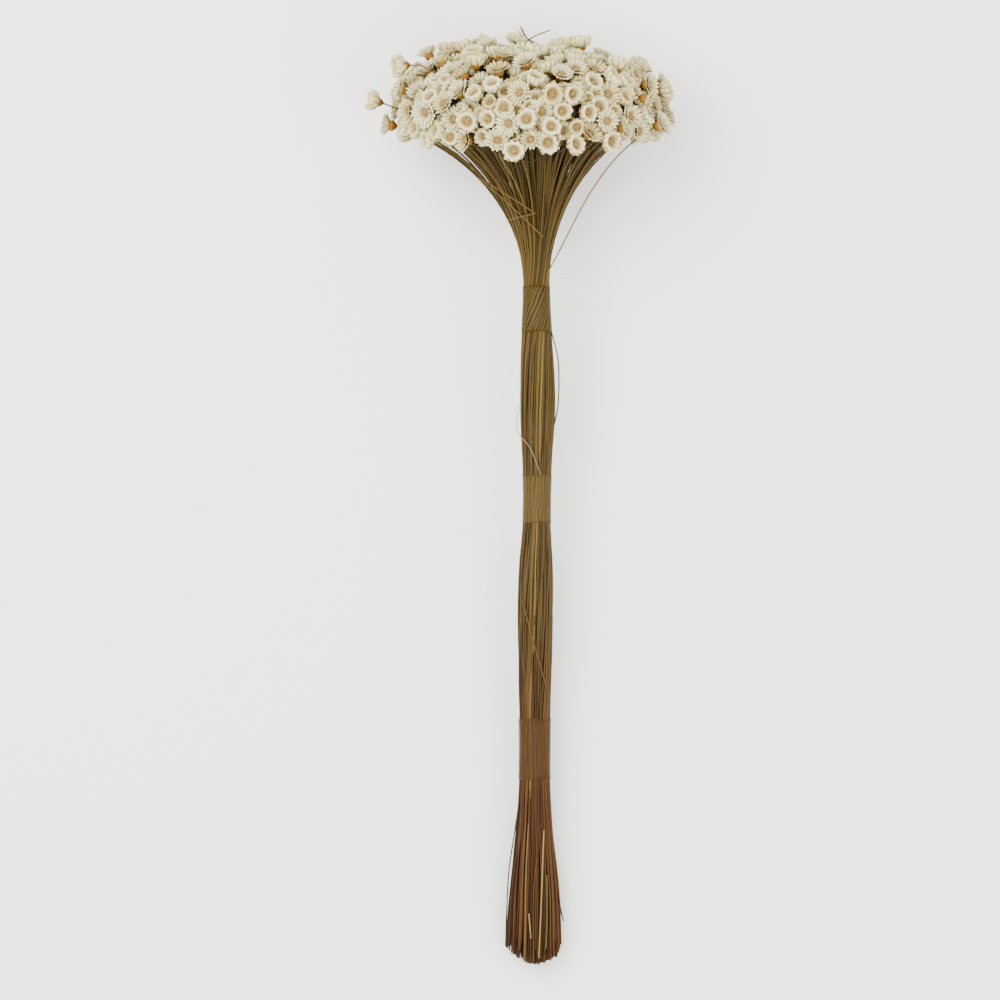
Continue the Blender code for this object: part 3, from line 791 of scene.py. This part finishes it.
def dry_stalk():
    """Dried flower stalk, ribbed and dull, with painted shade and light on its ribs: olive above, rust
    towards the cut, each a little different.
    """
    material, surface = shader("dried_flower_stalk", Roughness=0.65, Specular_IOR_Level=0.16)
    tree = material.node_tree
    tone = add(tree, "ShaderNodeAttribute", {}, attribute_name="tone").outputs["Fac"]
    place = add(tree, "ShaderNodeTexCoord", {}).outputs["Object"]
    y = add(tree, "ShaderNodeSeparateXYZ", {"Vector": place}).outputs["Y"]
    to_rust = add(tree, "ShaderNodeMapRange", {"Value": y, "From Min": -50 * MM, "From Max": -180 * MM})
    to_olive = add(tree, "ShaderNodeMapRange", {"Value": y, "From Min": -20 * MM, "From Max": 120 * MM})
    lower = {"Factor": to_rust.outputs[0], MIX_A: linear("#473615"), MIX_B: linear("#42280d")}
    lower = add(tree, "ShaderNodeMix", lower, data_type="RGBA").outputs[MIX_RESULT]
    whole = {"Factor": to_olive.outputs[0], MIX_A: lower, MIX_B: linear("#4c3b14")}
    whole = add(tree, "ShaderNodeMix", whole, data_type="RGBA").outputs[MIX_RESULT]
    # Ribs about half a millimetre wide that run a centimetre or two along the stalk, with painted shade in
    # their grooves and painted light on their ridges
    stretched = {"Vector": place, "Scale": (0.5 * MM, 14 * MM, 0.5 * MM)}
    stretched = add(tree, "ShaderNodeMapping", stretched, vector_type="TEXTURE")
    ribs = add(tree, "ShaderNodeTexNoise", {"Vector": stretched.outputs[0], "Scale": 1.0, "Detail": 2.0})
    # The ribs' depth as colour: painted shade in the grooves, painted light on the ridges
    depth = {"Value": ribs.outputs["Fac"], "From Min": 0.3, "From Max": 0.7, "To Min": 0.8, "To Max": 1.1}
    depth = add(tree, "ShaderNodeMapRange", depth).outputs[0]
    shade = add(tree, "ShaderNodeMapRange", {"Value": tone, "To Min": 0.4, "To Max": 1.5}).outputs[0]
    shade = add(tree, "ShaderNodeMath", {0: shade, 1: depth}, operation="MULTIPLY").outputs[0]
    shaded = add(tree, "ShaderNodeVectorMath", {0: whole, "Scale": shade}, operation="SCALE").outputs[0]
    # A few stalks are bleached to straw, and a few are still greenish
    to_straw = add(tree, "ShaderNodeMapRange", {"Value": tone, "From Min": 0.96, "From Max": 0.98})
    straw = {"Factor": to_straw.outputs[0], MIX_A: shaded, MIX_B: linear("#806c3c")}
    straw = add(tree, "ShaderNodeMix", straw, data_type="RGBA").outputs[MIX_RESULT]
    to_green = add(tree, "ShaderNodeMapRange", {"Value": tone, "From Min": 0.04, "From Max": 0.02})
    green = {"Factor": to_green.outputs[0], MIX_A: straw, MIX_B: linear("#4c4824")}
    green = add(tree, "ShaderNodeMix", green, data_type="RGBA").outputs[MIX_RESULT]
    tree.links.new(green, surface.inputs["Base Color"])
    return material


def dry_calyx():
    """Dried calyx: scales of golden brown, yellow at the upper edge and darker at the foot."""
    material, surface = shader("dried_calyx", Roughness=0.6, Specular_IOR_Level=0.2)
    tree = material.node_tree
    pale = add(tree, "ShaderNodeAttribute", {}, attribute_name="pale").outputs["Fac"]
    place = add(tree, "ShaderNodeTexCoord", {}).outputs["Object"]
    gold = {"Factor": pale, MIX_A: linear("#4f2804"), MIX_B: linear("#8f5f08")}
    gold = add(tree, "ShaderNodeMix", gold, data_type="RGBA").outputs[MIX_RESULT]
    # Scales a little under a millimetre across
    scales = add(tree, "ShaderNodeTexVoronoi", {"Vector": place, "Scale": 1 / (0.8 * MM)})
    edges = {"Value": scales.outputs["Distance"], "From Max": 0.8, "To Min": 1.15, "To Max": 0.7}
    edges = add(tree, "ShaderNodeMapRange", edges).outputs[0]
    scaled = add(tree, "ShaderNodeVectorMath", {0: gold, "Scale": edges}, operation="SCALE")
    tree.links.new(scaled.outputs[0], surface.inputs["Base Color"])
    return material


def papery_bract():
    """Papery bracts: dry ivory, darker and creamy tan towards the root, partly their own colour and partly
    painted shade deep in the flower, and some flowers yellower with age.
    """
    material, surface = shader("papery_bract", Roughness=0.65, Specular_IOR_Level=0.3)
    tree = material.node_tree
    pale = add(tree, "ShaderNodeAttribute", {}, attribute_name="pale").outputs["Fac"]
    tone = add(tree, "ShaderNodeAttribute", {}, attribute_name="tone").outputs["Fac"]
    aged = {"Factor": tone, MIX_A: linear("#d8d0a4"), MIX_B: linear("#c8bb80")}
    aged = add(tree, "ShaderNodeMix", aged, data_type="RGBA").outputs[MIX_RESULT]
    # From the root to the tip: the root's own tan deepened with painted shade, to ivory
    tan_root_and_shade = {"Factor": pale, MIX_A: linear("#8f7436"), MIX_B: aged}
    tan_root_and_shade = add(tree, "ShaderNodeMix", tan_root_and_shade, data_type="RGBA").outputs[MIX_RESULT]
    tree.links.new(tan_root_and_shade, surface.inputs["Base Color"])
    return material


def dry_florets():
    """Packed dry florets: tan, with painted shade in the gaps between them."""
    material, surface = shader("dried_florets", Roughness=0.85)
    tree = material.node_tree
    place = add(tree, "ShaderNodeTexCoord", {}).outputs["Object"]
    # Florets about half a millimetre across, drawn at twice that so that they show
    florets = add(tree, "ShaderNodeTexVoronoi", {"Vector": place, "Scale": 1 / (1.0 * MM)})
    # The gaps between the florets are drawn darker: painted shade
    gaps = {"Value": florets.outputs["Distance"], "From Min": 0.15, "From Max": 0.7}
    gaps = add(tree, "ShaderNodeMapRange", gaps).outputs[0]
    tan = {"Factor": gaps, MIX_A: linear("#9c8045"), MIX_B: linear("#6b4f20")}
    tan = add(tree, "ShaderNodeMix", tan, data_type="RGBA").outputs[MIX_RESULT]
    tree.links.new(tan, surface.inputs["Base Color"])
    return material


def clear_film(name, lean, hides, crease_shade, between):
    """Clear polypropylene tape drawn tight: a soft gloss, with creases that blur the stalks beneath; the
    creases are drawn darker, as painted shade.
    """
    material, surface = shader(name, Roughness=0.45, Specular_IOR_Level=0.15, Alpha=hides)
    tree = material.node_tree
    place = add(tree, "ShaderNodeTexCoord", {}).outputs["Object"]
    y = add(tree, "ShaderNodeSeparateXYZ", {"Vector": place}).outputs["Y"]
    around = add(tree, "ShaderNodeAttribute", {}, attribute_name="around").outputs["Fac"]
    unrolled = add(tree, "ShaderNodeCombineXYZ", {"X": around, "Y": y}).outputs[0]
    # Creases 2 mm apart, leaning with the stalks; a band of the texture is 0.314 of its unit wide
    leaning = {"Vector": unrolled, "Rotation": (0, 0, -lean), "Scale": (6.3 * MM, 25 * MM, 25 * MM)}
    leaning = add(tree, "ShaderNodeMapping", leaning, vector_type="TEXTURE").outputs[0]
    creases = {"Vector": leaning, "Scale": 1.0, "Distortion": 5.0, "Detail": 1.0, "Detail Scale": 1.0}
    creases = add(tree, "ShaderNodeTexWave", creases, wave_type="BANDS", bands_direction="X")
    share = {"Value": creases.outputs["Fac"], "From Min": 0.1, "From Max": 0.6}
    share = add(tree, "ShaderNodeMapRange", share).outputs[0]
    # The creases take the darker colour: painted shade
    veil = {"Factor": share, MIX_A: linear(crease_shade), MIX_B: linear(between)}
    veil = add(tree, "ShaderNodeMix", veil, data_type="RGBA").outputs[MIX_RESULT]
    tree.links.new(veil, surface.inputs["Base Color"])
    return material


def cotton_thread():
    """Twisted cotton thread: dull, and faded to grey green."""
    return shader("cotton_thread", Base_Color=linear("#6a6c4e"), Roughness=0.8)[0]


def paper_backdrop():
    """Matte paper: a pale floor without a gloss."""
    return shader("paper_backdrop", Base_Color=linear("#f6f5f2"), Roughness=0.9)[0]


def dress_flowers(stalk):
    """Every stem and flower in place of the sprays; returns the points of the stems."""
    rng = np.random.default_rng(DETAIL_SEED)
    flower_materials = [dry_calyx(), papery_bract(), dry_florets()]
    flowers = lay_out_flowers()
    buds = lay_out_buds(flowers, rng)
    paths = [stem_path(flower, rng) for flower in [*flowers, *buds]]
    radii = rng.uniform(*STEM_RADII, len(paths))
    tones = rng.uniform(*STEM_TONES, len(paths))
    stems = tubes_piece("flower_stems", paths, radii, tones, stalk)
    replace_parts(stems, *[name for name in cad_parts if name.startswith("flower_spray")])
    flowers_piece("star_flowers", flowers, STAR, STAR_LOOKS, flower_materials, rng)
    flowers_piece("cup_flowers", flowers, CUP, CUP_LOOKS, flower_materials, rng)
    flowers_piece("half_open_buds", buds, CUP, BUD_LOOKS, flower_materials, rng)
    return np.array([point for path in paths for point in path])


def dress_tape():
    """A clear film in place of each tape band."""
    for part, (low, high), lean, hides, crease_shade, between in TAPE:
        film = clear_film(f"clear_tape_{part}", lean, hides, crease_shade, between)
        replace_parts(film_band(f"tape_film_{part}", low, high, film), f"tape_band_{part}")


def add_strays(stem_points, stalk):
    """Bare and broken stems on the bunch and at its side, and a fine thread."""
    paths = [lying(points, lift, stem_points) for points, lift, _ in LYING_STEMS]
    tones = [tone for *_, tone in LYING_STEMS]
    for points, lift in SIDE_STEMS:
        paths.append(curve_through([Vector((x, y, middle_height(y) + lift)) for x, y in points]))
        tones.append(SIDE_TONE)
    tubes_piece("bare_stems", paths, [BARE_RADIUS] * len(paths), tones, stalk)
    thread = lying(THREAD, THREAD_LIFT, stem_points)
    tubes_piece("fine_thread", [thread], [THREAD_RADIUS], [THREAD_TONE], cotton_thread())


def set_up_studio():
    """A pale floor, soft light from above, and a camera that looks straight down."""
    bm = bmesh.new()
    bmesh.ops.create_grid(bm, x_segments=1, y_segments=1, size=FLOOR_SIZE)
    floor = bpy.data.objects.new("floor", as_mesh(bm, "floor"))
    floor.data.materials.append(paper_backdrop())
    bpy.context.scene.collection.objects.link(floor)

    world = bpy.data.worlds.new("studio")
    world.use_nodes = True
    sky = world.node_tree.nodes["Background"]
    sky.inputs["Color"].default_value = (1, 1, 1, 1)
    sky.inputs["Strength"].default_value = SKY_STRENGTH
    bpy.context.scene.world = world
    for name, place, power in LAMPS:
        lamp = bpy.data.lights.new(name, "AREA")
        lamp.size, lamp.energy = LAMP_SIZE, power
        made = bpy.data.objects.new(name, lamp)
        made.location = place
        made.rotation_euler = (Vector(LAMP_AIM) - Vector(place)).to_track_quat("-Z", "Y").to_euler()
        bpy.context.scene.collection.objects.link(made)

    lens = bpy.data.cameras.new("camera")
    lens.sensor_width = SENSOR_WIDTH
    lens.lens = SENSOR_WIDTH * PICTURE_DISTANCE / (PHOTO_WIDTH * MM)
    camera = bpy.data.objects.new("camera", lens)
    middle = (Vector((*PHOTO_MIDDLE, 0)) - Vector(BOX_MIDDLE)) * MM
    camera.location = (middle.x, middle.y, CAMERA_HEIGHT)
    bpy.context.scene.collection.objects.link(camera)
    bpy.context.scene.camera = camera


stalk_material = dry_stalk()
points_of_stems = dress_flowers(stalk_material)
dress_tape()
add_strays(points_of_stems, stalk_material)
set_up_studio()
